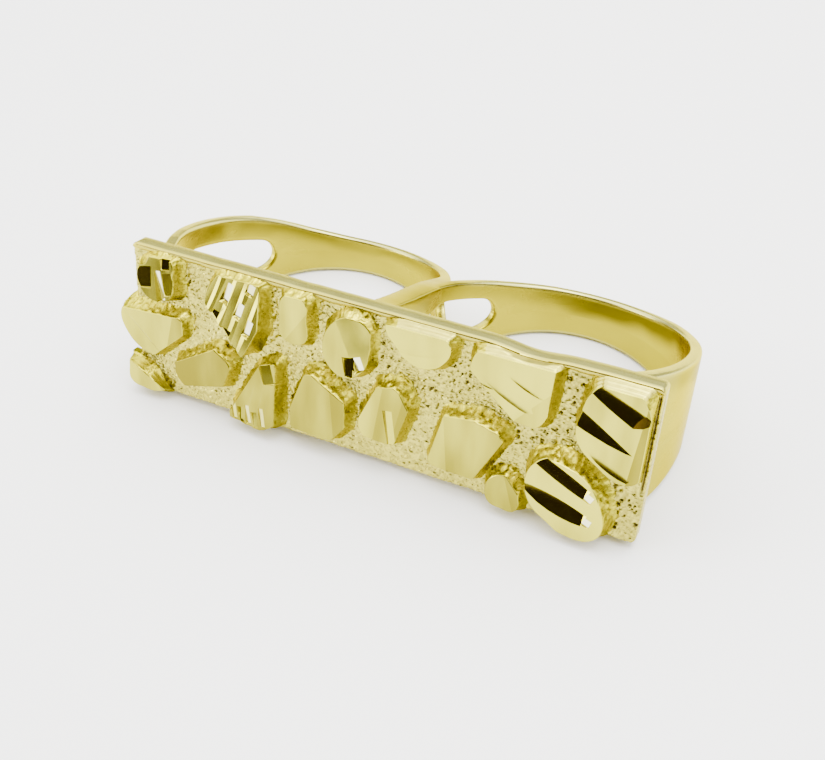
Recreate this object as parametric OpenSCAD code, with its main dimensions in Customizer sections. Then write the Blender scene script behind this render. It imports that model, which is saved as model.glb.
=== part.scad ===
// Ring for two neighbouring fingers: a long nugget plate with two bands side by side behind it.
// The whole ring is one solid of cast and soldered gold. It is drawn with the plate upright, its face towards -Y,
// and then leaned back as it rests by itself, on its lowest nuggets and on the lower edges of the bands.

/* [Plate] */
// Length of the plate across the two fingers
plate_w = 42; // [40:0.5:44]
// Height of the plate along the fingers
plate_h = 12.6; // [12:0.1:13.5]
// Thickness of the plate's sheet
plate_t = 1.2; // [1:0.1:1.6]
// Radius of the plate's corners
plate_corner = 0.4; // [0.2:0.1:1]
// Width of the raised rim along the plate's top edge
rim_w = 0.45; // [0.3:0.05:0.6]
// Height of that rim above the plate
rim_rise = 0.35; // [0.2:0.05:0.5]

/* [Nuggets] */
// Height of a plain nugget above the plate
nugget_rise = 1.2; // [0.9:0.1:1.6]
// How much wider a nugget is at its foot than at its top, on each side
nugget_spread = 0.45; // [0.2:0.05:0.6]
// How far the lowest nuggets hang below the plate
overhang_down = 0.5; // [0.3:0.1:0.8]
// How far the leftmost nugget hangs past the plate's end
overhang_left = 0.9; // [0.6:0.1:1.2]
// Depth of a cut groove as a share of its width
groove_depth = 0.24; // [0.1:0.02:0.3]

/* [Bands] */
// Inside width of the left band's round back
left_finger_w = 20.1; // [19.5:0.1:20.6]
// Inside width of the right finger opening
right_finger_w = 19.8; // [19:0.1:20]
// Distance from the plate's face to the back of the left band
left_depth = 21; // [20.2:0.1:22]
// Distance from the plate's face to the back of the right band
right_depth = 20.1; // [19.5:0.1:21.5]
// How far right of the plate's middle the wall between the two fingers stands
middle_x = 0.2; // [0:0.1:0.6]
// Thickness of a band at its sides
side_wall = 0.95; // [0.8:0.05:1.2]
// Thickness of the wall between the two fingers, which takes its extra metal from the left finger's side
middle_wall = 1.9; // [1.3:0.1:2.2]
// Thickness of a band at its back
back_wall = 0.75; // [0.6:0.05:1]
// Width of the deeper band at its back, along the finger
back_w = 3.3; // [3:0.1:4.5]
// Width of a band at the plate, along the finger
foot_w = 12; // [11:0.1:12.4]
// How far the outer shoulders draw in between the widest place and the plate
draw_in = 2.2; // [1:0.1:3]

/* [Openings in the bands] */
// Width of metal left above and below an opening
rail_w = 1.5; // [1.2:0.1:2]
// Metal left between the plate's back and an opening
front_web = 1.3; // [1:0.1:2.5]
// Distance from the plate's face to the rear end of an opening
opening_back = 16.4; // [15:0.1:17]

/* [Hidden] */
$fn = 96;

// Columns of the nugget table: place of the middle, half length and half breadth of the top, turn of the length
// from +X, taper of the breadth along it, squareness of the outline, height as a share of nugget_rise, and then
// the number, turn and pitch of the grooves cut across the top.
MID_X = 0;
MID_Z = 1;
HALF_L = 2;
HALF_B = 3;
TURN = 4;
TAPER = 5;
SQUARE = 6;
RISE = 7;
CUTS = 8;
CUT_TURN = 9;
CUT_PITCH = 10;
NUGGETS = [
    [-18.4, -1.8, 2.0, 1.85, 20, 0, 2.4, 1.0, 2, 103, 1.2],
    [-18.6, -6.4, 3.0, 2.1, 16, -0.35, 2.4, 1.0, 0, 0, 1],
    [-19.6, -11.0, 1.9, 1.3, -20, -0.3, 2.3, 0.9, 0, 0, 1],
    [-14.1, -8.7, 2.7, 1.8, 12, 0.1, 2.6, 0.9, 0, 0, 1],
    [-11.3, -2.8, 3.0, 1.95, 105, 0.2, 2.6, 1.1, 4, 57, 0.9],
    [-6.1, -2.1, 2.3, 1.1, 92, 0.1, 2.8, 0.9, 0, 0, 1],
    [-9.6, -9.5, 3.05, 1.75, 66, -0.25, 2.2, 1.0, 3, 68, 1.1],
    [-4.0, -9.2, 2.85, 2.35, 100, 0, 2.7, 1.0, 0, 0, 1],
    [-1.7, -3.2, 2.35, 1.8, 72, 0, 2.3, 1.0, 2, 90, 1.2],
    [3.9, -1.6, 2.4, 1.55, 0, 0.1, 2.8, 0.9, 0, 0, 1],
    [1.9, -8.0, 2.7, 1.75, 77, -0.2, 2.5, 1.0, 2, 90, 1.3],
    [8.0, -8.6, 2.7, 2.4, 70, 0.15, 3.0, 1.1, 0, 0, 1],
    [11.3, -2.6, 2.9, 2.3, -15, 0.1, 3.0, 1.0, 2, -22, 1.3],
    [11.3, -11.15, 1.25, 1.1, -30, 0, 2.3, 0.9, 0, 0, 1],
    [16.1, -9.55, 3.05, 2.4, -56, 0, 2.3, 1.2, 3, -27, 1.4],
    [18.6, -3.4, 3.4, 2.4, 103, 0, 2.7, 1.1, 3, -27, 1.5],
];
outline_points = 24;
nugget_sink = plate_t / 2;

// Plan: both openings stand against the one wall between the fingers
left_x = middle_x - (side_wall + left_finger_w) / 2;
right_x = middle_x + (side_wall + right_finger_w) / 2;
deepest = max(left_depth, right_depth);

// Side view: the bands narrow in straight lines from the plate to the back
mid_z = -plate_h / 2;
band_slope = (foot_w - back_w) / 2 / (deepest - plate_t);
slope_turn = atan(band_slope);

// Side view of an opening: two circles and the straight lines that touch both
rail_line = back_w / 2 - rail_w + band_slope * deepest;
front_y = (plate_t + front_web + cos(slope_turn) * rail_line) / (1 + sin(slope_turn));
rear_y = (opening_back - cos(slope_turn) * rail_line) / (1 - sin(slope_turn));
front_r = front_y - plate_t - front_web;
rear_r = opening_back - rear_y;
side_tuck = 0.04;

// Rest: the lean puts the lowest nuggets and the deeper band's lower back edge on one level
nugget_low = plate_h + overhang_down;
band_low = plate_h / 2 + back_w / 2;
lean = atan((nugget_low - band_low) / (deepest - nugget_sink));
rest_drop = nugget_low * cos(lean) + nugget_sink * sin(lean);

// Signed power, used for the rounded outlines
function spow(v, e) = sign(v) * pow(abs(v), e);

// Outline of a nugget in its own axes, with its half length and half breadth grown by grow
function nugget_outline(n, grow) = [
    for (i = [0:outline_points - 1])
        let (
            a = 360 * i / outline_points,
            c = spow(cos(a), 2 / n[SQUARE]),
            s = spow(sin(a), 2 / n[SQUARE])
        )
        [(n[HALF_L] + grow) * c, (n[HALF_B] + grow) * s * (1 + n[TAPER] * c)]
];

// How much wider than its top a nugget is where its foot ends inside the plate's sheet
function foot_grow(n) = nugget_spread * (1 + nugget_sink / (nugget_rise * n[RISE]));

// Height of a nugget's middle, raised where its foot would hang below the lowest ones
function middle_z(n) =
    let (reach = min([for (p = nugget_outline(n, foot_grow(n))) p[0] * sin(n[TURN]) + p[1] * cos(n[TURN])]))
    max(n[MID_Z], -nugget_low - reach);

// How far a nugget's top reaches to the front once the ring has leaned
function leaned_front(n) = min([
    for (p = nugget_outline(n, 0))
        let (z = middle_z(n) + p[0] * sin(n[TURN]) + p[1] * cos(n[TURN]))
        z * sin(lean) - nugget_rise * n[RISE] * cos(lean)
]);
front_reach = min([for (n = NUGGETS) leaned_front(n)]);
back_reach = deepest * cos(lean) + (back_w / 2 + mid_z) * sin(lean);
left_reach = -plate_w / 2 - overhang_left;
right_reach = right_x + right_finger_w / 2 + side_wall;

// Flat sheet of the plate with its raised rim
module plate() {
    rotate([90, 0, 0])
        translate([0, -plate_h / 2, -plate_t])
            linear_extrude(plate_t)
                union() {
                    square([plate_w - 2 * plate_corner, plate_h], center = true);
                    square([plate_w, plate_h - 2 * plate_corner], center = true);
                    for (x = [-1, 1], z = [-1, 1])
                        translate([x * (plate_w / 2 - plate_corner), z * (plate_h / 2 - plate_corner)])
                            circle(plate_corner);
                }
    translate([-plate_w / 2 + plate_corner, -rim_rise, -rim_w])
        cube([plate_w - 2 * plate_corner, rim_rise + nugget_sink, rim_w]);
}

// Straight V grooves side by side across a nugget's top, centred on it
module grooves(n) {
    w = n[CUT_PITCH] * 0.8;
    run = 2 * (n[HALF_L] + n[HALF_B]);
    for (i = [0:1:n[CUTS] - 1])
        rotate([0, 0, n[CUT_TURN] - n[TURN]])
            translate([-run / 2, (i - (n[CUTS] - 1) / 2) * n[CUT_PITCH], 0])
                rotate([90, 0, 90])
                    linear_extrude(run)
                        polygon([[-w, w * groove_depth], [w, w * groove_depth], [0, -w * groove_depth]]);
}

// One nugget, drawn with its foot in the plate and its sides drawing in towards a flat top
module nugget(n) {
    deep = nugget_rise * n[RISE] + nugget_sink;
    grow = foot_grow(n);
    shrink = [n[HALF_L] / (n[HALF_L] + grow), n[HALF_B] / (n[HALF_B] + grow)];
    translate([n[MID_X], nugget_sink, middle_z(n)])
        rotate([90, 0, 0])
            rotate([0, 0, n[TURN]])
                difference() {
                    linear_extrude(deep, scale = shrink, slices = 1, $fn = outline_points)
                        polygon(nugget_outline(n, grow));
                    translate([0, 0, deep])
                        grooves(n);
                }
}

// All nuggets, level with the plate's top edge and right end and hanging a little past its left and lower edges
module nuggets() {
    tallest = nugget_rise * max([for (n = NUGGETS) n[RISE]]);
    intersection() {
        union() {
            for (n = NUGGETS)
                nugget(n);
        }
        translate([left_reach, -2 * tallest, -2 * plate_h])
            cube([plate_w + overhang_left, 3 * tallest, 2 * plate_h]);
    }
}

// Plan of one band about its own middle: a half circle behind, a straight wall towards the middle of the ring and
// a wide arc at the outer shoulder; side is -1 for the left band and 1 for the right one
module band_plan(side, finger_w, depth) {
    foot_y = plate_t / 2;
    outer_r = finger_w / 2 + side_wall;
    arc_y = depth - outer_r;
    inner_y = arc_y + side_wall - back_wall;
    shoulder_run = arc_y - plate_t;
    shoulder_r = (shoulder_run * shoulder_run + draw_in * draw_in) / (2 * draw_in);
    // half circle behind
    difference() {
        translate([0, arc_y])
            circle(outer_r);
        translate([0, inner_y])
            circle(finger_w / 2);
        translate([-outer_r - 1, -outer_r])
            square([2 * outer_r + 2, arc_y + outer_r]);
        translate([-finger_w / 2, arc_y - 1])
            square([finger_w, inner_y - arc_y + 1]);
    }
    // straight wall towards the middle of the ring
    translate([side > 0 ? -outer_r : outer_r - side_wall, foot_y])
        square([side_wall, inner_y - foot_y]);
    // curved wall of the outer shoulder
    intersection() {
        translate([side * (outer_r - shoulder_r), arc_y])
            difference() {
                circle(shoulder_r, $fn = 4 * $fn);
                circle(shoulder_r - side_wall, $fn = 4 * $fn);
            }
        translate([side > 0 ? 0 : -outer_r - 1, foot_y])
            square([outer_r + 1, arc_y - foot_y]);
    }
}

// Plan of the extra metal of the wall between the fingers: a flat face on the left finger's side that runs on until
// it meets the left band's round back
module middle_fill() {
    outer_r = left_finger_w / 2 + side_wall;
    mid_r = outer_r - side_wall / 2;
    arc_y = left_depth - outer_r;
    foot_y = plate_t / 2;
    face_x = middle_x + side_wall / 2 - middle_wall;
    translate([face_x, foot_y])
        square([middle_x - side_wall / 8 - face_x, arc_y - foot_y]);
    intersection() {
        translate([left_x, arc_y])
            circle(mid_r);
        translate([face_x, arc_y - 2 * side_wall])
            square([middle_wall, mid_r + 2 * side_wall]);
    }
}

// Outline of the bands seen from the side: wide at the plate and narrow at the back
module band_side() {
    reach = deepest + 1;
    half_front = back_w / 2 + band_slope * deepest;
    half_back = back_w / 2 - band_slope;
    polygon([[0, -half_front], [reach, -half_back], [reach, half_back], [0, half_front]]);
}

// Outline of an opening seen from the side. Its straight sides run a hair inside the two circles, so that
// they cross them and don't just touch.
module opening_side() {
    translate([front_y, 0])
        circle(front_r);
    translate([rear_y, 0])
        circle(rear_r);
    f = [front_y + front_r * sin(slope_turn), front_r * cos(slope_turn) - side_tuck];
    r = [rear_y + rear_r * sin(slope_turn), rear_r * cos(slope_turn) - side_tuck];
    polygon([[f[0], -f[1]], [r[0], -r[1]], r, f]);
}

// An outline of the side view, drawn as Y and Z about the middle of the plate, carried across the ring from its left
// side to the place to_x
module across(to_x) {
    beyond = right_reach + 2;
    translate([-beyond, 0, mid_z])
        rotate([90, 0, 90])
            linear_extrude(beyond + to_x)
                children();
}

// The two bands, pierced at the left shoulder and in the wall between the fingers. The right shoulder is left whole.
module bands() {
    difference() {
        intersection() {
            translate([0, 0, -plate_h])
                linear_extrude(plate_h) {
                    translate([left_x, 0])
                        band_plan(-1, left_finger_w, left_depth);
                    translate([right_x, 0])
                        band_plan(1, right_finger_w, right_depth);
                    middle_fill();
                }
            across(right_reach + 2)
                band_side();
        }
        across(right_x)
            opening_side();
    }
}

// The whole ring, leaned back and standing on the ground
module nugget_ring() {
    color([0.86, 0.79, 0.48])
        translate([-(left_reach + right_reach) / 2, -(front_reach + back_reach) / 2, rest_drop])
            rotate([-lean, 0, 0])
                union() {
                    plate();
                    nuggets();
                    bands();
                }
}

nugget_ring();
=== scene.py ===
"""Looks of a gold nugget ring for two neighbouring fingers: plate, nuggets, bands, gold finishes and a small studio."""

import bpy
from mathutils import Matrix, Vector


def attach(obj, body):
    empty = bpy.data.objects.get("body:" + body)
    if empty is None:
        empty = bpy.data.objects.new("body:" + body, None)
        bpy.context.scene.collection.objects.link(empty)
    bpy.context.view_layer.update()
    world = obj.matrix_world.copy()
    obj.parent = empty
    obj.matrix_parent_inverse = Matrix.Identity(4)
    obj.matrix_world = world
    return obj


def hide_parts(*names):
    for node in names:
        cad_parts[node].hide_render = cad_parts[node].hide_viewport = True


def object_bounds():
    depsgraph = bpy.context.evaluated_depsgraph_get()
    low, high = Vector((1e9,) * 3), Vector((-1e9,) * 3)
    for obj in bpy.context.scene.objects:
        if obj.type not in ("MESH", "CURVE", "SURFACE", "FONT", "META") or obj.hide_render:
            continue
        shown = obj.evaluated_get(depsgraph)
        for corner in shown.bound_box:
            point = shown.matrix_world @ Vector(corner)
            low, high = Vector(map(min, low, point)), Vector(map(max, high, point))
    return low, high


bl_info = {
    "name": "Two-finger nugget ring",
    "version": (1, 0, 0),
    "blender": (4, 5, 0),
    "location": "View3D > Sidebar > Nugget Ring",
    "description": "Builds a gold nugget ring for two fingers, its finishes and a small studio",
    "category": "Object",
}

from math import asin, atan, cos, degrees, pi, radians, sin, sqrt, tan

import bmesh
import bpy
import numpy as np
from mathutils import Matrix, Vector, noise

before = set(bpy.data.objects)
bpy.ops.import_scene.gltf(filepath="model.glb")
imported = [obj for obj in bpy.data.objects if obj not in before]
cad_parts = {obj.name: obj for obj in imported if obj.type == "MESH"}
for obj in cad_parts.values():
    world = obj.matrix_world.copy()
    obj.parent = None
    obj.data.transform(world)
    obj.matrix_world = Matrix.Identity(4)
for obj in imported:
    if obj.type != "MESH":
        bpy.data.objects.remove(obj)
CAD_LOW, CAD_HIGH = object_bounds()
MM = 0.001

# ---- Tables of the ring, in millimetres in its own frame: X along the plate, Y behind its face, Z along the fingers

# Nuggets: middle of the top, turn of the first radius from +X, height above the plate, nod (how much the top falls
# towards the plate's lower edge) and yaw (how much it falls to the left) in degrees, tone (painted shade of the top's
# reflection, from 0 for pale to 1 for deep gold), 1 where the side towards the rim falls in steps, and the outline's
# radii every eighth of a turn.
NUGGET_COLUMNS = ("x", "z", "turn", "rise", "nod", "yaw", "tone", "steps", "radii")
NUGGETS = [
    (-18.4, -1.9, 0, 1.15, -9.0, 0.0, 0.6, 0, (1.65, 2.05, 1.75, 1.10, 1.75, 1.65, 1.90, 2.10)),
    (-19.0, -6.7, 20, 1.05, 4.0, -2.0, 0.3, 0, (3.20, 2.10, 2.20, 2.90, 2.50, 2.35, 2.40, 2.60)),
    (-19.9, -11.1, -12, 1.00, 3.0, -3.0, 0.35, 0, (2.10, 1.20, 1.05, 1.85, 1.55, 1.70, 1.35, 1.60)),
    (-14.2, -9.0, 0, 0.95, 2.0, 2.0, 1.0, 0, (2.60, 2.60, 2.20, 2.10, 2.90, 2.90, 1.90, 2.00)),
    (-11.4, -2.8, 12, 1.30, -9.5, 0.0, 0.5, 0, (2.50, 3.35, 2.80, 2.30, 2.20, 2.40, 3.60, 3.10)),
    (-6.1, -2.25, 20, 1.05, 2.0, -2.0, 0.4, 0, (1.15, 1.95, 1.85, 1.20, 1.15, 1.90, 2.05, 1.20)),
    (-9.6, -9.9, 18, 1.20, -3.0, 2.0, 0.75, 0, (2.30, 3.90, 2.90, 1.60, 1.90, 3.40, 2.80, 2.70)),
    (-4.0, -9.2, 0, 1.15, 2.0, 1.0, 0.65, 0, (2.50, 2.75, 2.90, 2.70, 2.35, 3.10, 2.50, 2.70)),
    (-1.75, -3.35, 0, 1.20, 0.0, 0.0, 0.5, 0, (1.85, 2.40, 2.40, 1.85, 1.70, 1.95, 2.30, 2.10)),
    (3.9, -1.5, 15, 1.00, 2.0, -1.0, 0.1, 1, (2.50, 1.70, 1.40, 2.70, 1.70, 1.55, 1.75, 2.15)),
    (1.9, -8.1, 0, 1.15, 1.0, 0.0, 0.6, 0, (1.75, 2.30, 2.80, 2.10, 2.10, 2.70, 2.15, 2.10)),
    (7.9, -8.7, 0, 1.00, 5.0, 1.0, 0.6, 0, (2.90, 3.55, 2.80, 3.10, 2.60, 3.30, 2.45, 2.70)),
    (11.2, -2.7, -10, 1.15, 1.0, -1.0, 0.1, 1, (2.80, 3.60, 2.60, 3.50, 3.20, 2.40, 2.30, 3.10)),
    (11.35, -11.3, 0, 1.00, -3.0, 2.0, 0.6, 0, (1.15, 1.15, 1.45, 1.40, 1.35, 1.40, 1.20, 1.50)),
    (16.1, -9.8, 0, 1.44, 0.0, 0.0, 0.1, 0, (2.40, 2.20, 2.50, 3.35, 3.05, 2.65, 2.85, 3.40)),
    (18.5, -3.5, -17, 1.32, 0.0, 0.0, 0.3, 1, (2.30, 2.50, 3.40, 3.20, 2.50, 2.75, 3.00, 4.00)),
]

# Straight edges of the tops: the nugget's number, a point of the edge and the way outward there, in degrees from +X
TRIM_COLUMNS = ("nugget", "x", "z", "out")
TRIMS = [
    (2, -18.2, -5.2, 93),
    (2, -16.2, -6.0, -4),
    (2, -17.9, -8.1, -48),
    (3, -20.0, -11.0, 56),
    (4, -15.2, -8.1, 121),
    (4, -12.4, -7.3, 60),
    (4, -12.0, -8.9, -21),
    (4, -14.6, -10.6, -73),
    (4, -17.0, -10.0, 180),
    (5, -9.0, -2.0, 2),
    (5, -9.4, -4.9, -24),
    (5, -12.2, -4.2, 227),
    (5, -10.7, -6.1, 252),
    (7, -7.6, -9.6, 0),
    (7, -8.4, -6.8, 112),
    (7, -10.1, -9.0, 151),
    (7, -10.5, -12.4, 262),
    (8, -3.0, -7.1, 60),
    (8, -1.6, -9.0, 1),
    (8, -2.1, -10.8, -38),
    (8, -4.3, -11.6, 268),
    (8, -6.2, -9.6, 180),
    (8, -5.7, -8.4, 159),
    (9, -1.0, -1.05, 82),
    (9, 0.1, -2.6, 3),
    (11, 0.4, -7.1, 156),
    (11, 1.8, -5.5, 107),
    (11, 3.1, -6.1, 29),
    (11, 3.1, -8.5, -17),
    (11, 1.3, -10.2, 268),
    (12, 9.95, -9.0, -27),
    (12, 9.7, -6.2, 76),
    (12, 7.4, -6.15, 99),
    (12, 5.8, -8.6, 165),
    (12, 7.0, -11.05, 270),
    (13, 13.85, -2.0, -3),
    (13, 10.0, -3.7, 229),
    (13, 12.4, -5.15, 262),
    (14, 11.9, -10.4, 40),
]

# Cuts, each a leaf-shaped scoop with a steep back: the nugget's number, the two ends of its deepest line, the depth at
# each end and how much deeper it is halfway, the breadth of the scoop on the right of that line, the slope of its
# back in degrees, and the slope and fall of the face that ends it (0 where it runs out by itself).
CUT_COLUMNS = ("nugget", "x0", "z0", "x1", "z1", "deep0", "deep1", "bow", "wide", "back", "stop", "fall")
CUTS = [
    (2, -21.6, -5.4, -18.0, -9.2, 0.00, 0.00, 0.05, 0.50, 20, 0, 0),
    (5, -12.5, -0.4, -13.5, -3.2, 0.06, 0.06, 0.02, 0.45, 14, 0, 0),
    (5, -11.1, -0.1, -12.9, -5.0, 0.07, 0.07, 0.02, 0.60, 14, 0, 0),
    (5, -10.1, 0.2, -11.8, -5.6, 0.07, 0.07, 0.02, 0.60, 14, 0, 0),
    (5, -9.1, -1.0, -10.8, -6.4, 0.07, 0.07, 0.02, 0.60, 14, 0, 0),
    (7, -9.3, -8.6, -10.9, -13.0, 0.00, 0.10, 0.03, 0.45, 14, 0, 0),
    (7, -8.6, -9.0, -9.9, -13.4, 0.00, 0.10, 0.03, 0.45, 14, 0, 0),
    (7, -8.2, -9.6, -9.0, -13.4, 0.00, 0.10, 0.03, 0.45, 14, 0, 0),
    (10, 1.9, -2.15, 6.3, -1.55, 0.00, 0.00, 0.05, 0.45, 12, 0, 0),
    (13, 10.7, -1.50, 13.5, -2.78, 0.00, 0.00, 0.05, 0.26, 12, 0, 0),
    (13, 8.9, -2.15, 13.4, -4.35, 0.00, 0.00, 0.08, 0.42, 10, 0, 0),
    (13, 8.8, -2.75, 9.9, -3.00, 0.00, 0.00, 0.03, 0.12, 20, 0, 0),
    (15, 13.5, -6.78, 17.55, -8.73, 0.30, 0.32, 0.08, 0.74, 52, 60, 154),
    (15, 12.8, -9.40, 17.60, -10.80, 0.05, 0.30, 0.28, 1.00, 52, 60, 163),
    (15, 13.5, -11.40, 16.2, -13.10, 0.20, 0.20, 0.06, 0.60, 52, 0, 0),
    (16, 16.8, -0.45, 21.1, -2.40, 0.24, 0.44, 0.05, 1.00, 52, 34, 105),
    (16, 15.2, -2.35, 19.9, -4.85, 0.44, 0.00, 0.05, 1.00, 52, 0, 0),
    (16, 17.3, -5.55, 20.4, -7.05, 0.05, 0.00, 0.10, 0.46, 52, 0, 0),
]

# Cells, small flat faces cut across the flutes: the nugget's number, middle, length, breadth and the way the length
# runs, the way the face falls and its slope in degrees, and its tone (painted shade of its reflection; -1 for a
# painted white glint)
CELL_COLUMNS = ("nugget", "x", "z", "long", "wide", "turn", "fall", "slope", "tone")
CELLS = [
    (1, -19.50, -2.30, 1.40, 1.50, -80, 80, 24, 0.3),
    (1, -17.80, -2.60, 2.40, 0.50, -77, 193, 5, -0.9),
    (1, -17.42, -0.80, 0.80, 0.66, -80, 70, 24, 0.3),
    (1, -17.05, -2.30, 1.70, 0.80, -77, 60, 11, 0.5),
    (5, -11.72, -1.62, 1.60, 0.50, -109, 161, 5, -0.9),
    (5, -9.72, -0.90, 0.85, 0.58, -109, 161, 5, -0.6),
    (5, -10.58, -2.70, 1.25, 0.52, -109, 161, 5, -0.9),
    (5, -9.72, -3.88, 1.30, 0.50, -109, 161, 5, -0.8),
    (5, -12.75, -3.62, 0.80, 0.55, -109, 75, 24, 0.3),
    (5, -11.70, -4.72, 0.60, 0.75, -109, 75, 24, 0.3),
    (7, -8.30, -7.60, 1.50, 0.95, -72, 70, 12, 0.6),
    (7, -11.20, -11.55, 1.30, 0.36, -80, 161, 5, -0.25),
    (7, -10.55, -11.75, 1.20, 0.36, -80, 80, 11, 0.5),
    (7, -9.95, -11.55, 1.50, 0.36, -80, 161, 5, -0.4),
    (7, -9.30, -11.85, 1.20, 0.36, -80, 80, 12, 0.5),
    (7, -8.65, -11.45, 1.60, 0.36, -80, 161, 5, -0.3),
    (9, -1.32, -4.80, 1.40, 0.58, -84, 72, 16, 0.5),
    (9, -0.60, -4.35, 1.00, 0.66, -66, 161, 5, -0.9),
    (11, 2.25, -8.80, 2.80, 0.60, -80, 165, 3, 0.0),
    (15, 17.62, -9.12, 0.56, 0.58, -26, 161, 5, -1.0),
    (15, 17.74, -11.12, 0.56, 0.58, -17, 161, 5, -1.0),
]

# Bevels: the nugget's number, a point of the bevel's edge, the way it falls from +X, its slope in degrees and its tone
# (painted shade of its reflection)
BEVEL_COLUMNS = ("nugget", "x", "z", "turn", "slope", "tone")
BEVELS = [
    (2, -17.3, -6.6, -15, 9, 0.7),
    (3, -19.3, -10.6, 25, 9, 0.8),
    (6, -5.7, -2.6, -35, 8, 0.6),
    (8, -2.6, -9.0, 5, 4, 0.9),
    (9, -1.62, -3.0, 25, 15, 0.3),
    (9, -0.9, -1.60, 70, 30, 0.4),
    (11, 2.9, -7.5, -12, 7, 0.8),
    (11, 1.2, -8.0, 172, 3, 0.35),
    (12, 6.6, -8.6, 185, 4, 0.35),
    (13, 12.2, -4.2, -40, 6, 0.4),
    (14, 11.8, -11.2, 20, 8, 0.9),
    (16, 20.10, -4.0, -5, 14, 1.0),
]

# Pitted places of the plate: middle, reach, and share of the metal that is pitted
PITTED_COLUMNS = ("x", "z", "reach", "share")
PITTED = [
    (20.4, -10.2, 2.8, 1.0),
    (18.6, -8.6, 1.8, 0.8),
    (15.4, -1.6, 1.9, 1.0),
    (15.0, -4.6, 1.7, 0.9),
    (-0.4, -0.7, 1.8, 0.7),
    (0.9, -3.4, 1.9, 0.6),
    (6.9, -3.6, 2.4, 0.7),
    (4.4, -5.4, 2.2, 0.5),
    (12.6, -6.6, 2.2, 0.6),
    (-15.4, -2.6, 1.8, 0.5),
    (-4.2, -1.2, 1.2, 0.4),
    (-6.0, -6.0, 2.2, 0.3),
]

# Bands seen from the side: at each distance behind the plate's face, the half width of both bands and how much
# higher than that the left band's upper edge stands
BAND_COLUMNS = ("y", "half", "lift")
BAND_WIDTHS = [
    (0.0, 6.15, 0.00),
    (1.2, 5.95, 0.05),
    (3.0, 5.50, 0.45),
    (5.0, 5.06, 0.65),
    (8.0, 4.46, 0.70),
    (12.8, 3.50, 0.70),
    (14.7, 3.05, 0.72),
    (16.6, 2.66, 0.45),
    (18.9, 2.05, 0.15),
    (21.0, 1.60, 0.00),
]


# ---- Sizes, colours and light that a user may change


def length_prop(name, description, millimetres):
    """A length, given in millimetres."""
    return bpy.props.FloatProperty(name=name, description=description, default=millimetres * MM, unit="LENGTH")


def colour_prop(name, description, value):
    """A colour, given as linear red, green and blue."""
    return bpy.props.FloatVectorProperty(
        name=name, description=description, default=value, subtype="COLOR", size=3, min=0, max=1
    )


def light_prop(name, description, value, unit="NONE"):
    """Strength of a light or brightness of a part of the room."""
    return bpy.props.FloatProperty(name=name, description=description, default=value, min=0, unit=unit)


class RingSizes(bpy.types.PropertyGroup):
    """Sizes that the plate, the nuggets and the bands share"""

    plate_w: length_prop("Plate length", "Length of the plate across the two fingers", 42)
    plate_h: length_prop("Plate height", "Height of the plate along the fingers", 12.6)
    plate_t: length_prop("Plate thickness", "Thickness of the plate's sheet", 1.2)
    plate_corner: length_prop("Corner radius", "Radius of the plate's corners", 0.4)
    rim_w: length_prop("Rim width", "Width of the raised rim along the top edge", 0.4)
    rim_rise: length_prop("Rim height", "Height of that rim above the plate", 0.25)
    spread: length_prop("Nugget spread", "How much wider a nugget is at its foot, on each side", 0.45)
    overhang_down: length_prop("Overhang below", "How far the lowest nuggets hang below the plate", 0.5)
    overhang_left: length_prop("Overhang at the left", "How far the leftmost nugget hangs past the plate's end", 0.9)
    left_finger_w: length_prop("Left opening", "Inside width of the left band's round back", 20.1)
    right_finger_w: length_prop("Right opening", "Inside width of the right finger opening", 19.8)
    left_depth: length_prop("Left depth", "From the plate's face to the back of the left band", 21)
    right_depth: length_prop("Right depth", "From the plate's face to the back of the right band", 20.1)
    middle_x: length_prop("Middle wall", "How far right of the middle the wall between the fingers stands", 0.2)
    side_wall: length_prop("Side thickness", "Thickness of a band at its sides", 0.95)
    middle_wall: length_prop("Middle wall's thickness", "Thickness of the wall between the fingers", 1.9)
    back_wall: length_prop("Back thickness", "Thickness of a band at its back", 0.75)
    back_w: length_prop("Back width", "Width of the deeper band at its back", 3.3)
    foot_w: length_prop("Foot width", "Width of a band at the plate", 12)
    draw_in: length_prop("Shoulder draw-in", "How far the outer shoulders draw in towards the plate", 2.2)
    rail_w: length_prop("Rail width", "Metal left above and below a shoulder opening", 1.5)
    front_web: length_prop("Front web", "Metal left between the plate and a shoulder opening", 1.3)
    opening_back: length_prop("Opening's rear end", "From the plate's face to the rear end of a shoulder opening", 16.4)
    edge_round: length_prop("Edge rounding", "Radius of the bands' softened edges", 0.24)
    grain: length_prop("Grain size", "Size of one grain of the granulated metal", 0.24)


class RingColours(bpy.types.PropertyGroup):
    """Colours of the gold's finishes"""

    polished: colour_prop("Polished gold", "Diamond-cut faces", (0.56, 0.52, 0.05))
    # painted highlight: near-white colour of small cut faces and cut ends, in place of their reflected white flash
    painted_glint: colour_prop("Glint", "Small cut faces that flash white", (0.86, 0.83, 0.52))
    band: colour_prop("Band gold", "Smooth bands", (0.43, 0.365, 0.006))
    # painted shade: deep colour under the bands' upper edge, in place of their shade and deeper inter-reflections
    shade_streak: colour_prop("Deep streaks", "Deeper colour inside the bands, under their upper edge", (0.10, 0.078, 0.0005))
    # paler gold on edges and outsides: partly wear, partly a painted sheen in place of their pale reflection
    edge: colour_prop("Worn edges", "Pale, worn edges and outsides", (0.52, 0.50, 0.16))
    grainy: colour_prop("Granulated gold", "Grainy sides of the nuggets", (0.54, 0.48, 0.014))
    ground: colour_prop("Plate gold", "Pitted face of the plate", (0.60, 0.54, 0.08))
    pit: colour_prop("Pit colour", "Bottoms of the pits", (0.07, 0.05, 0.01))
    floor: colour_prop("Floor", "Plain pale floor", (0.93, 0.93, 0.92))


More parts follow.
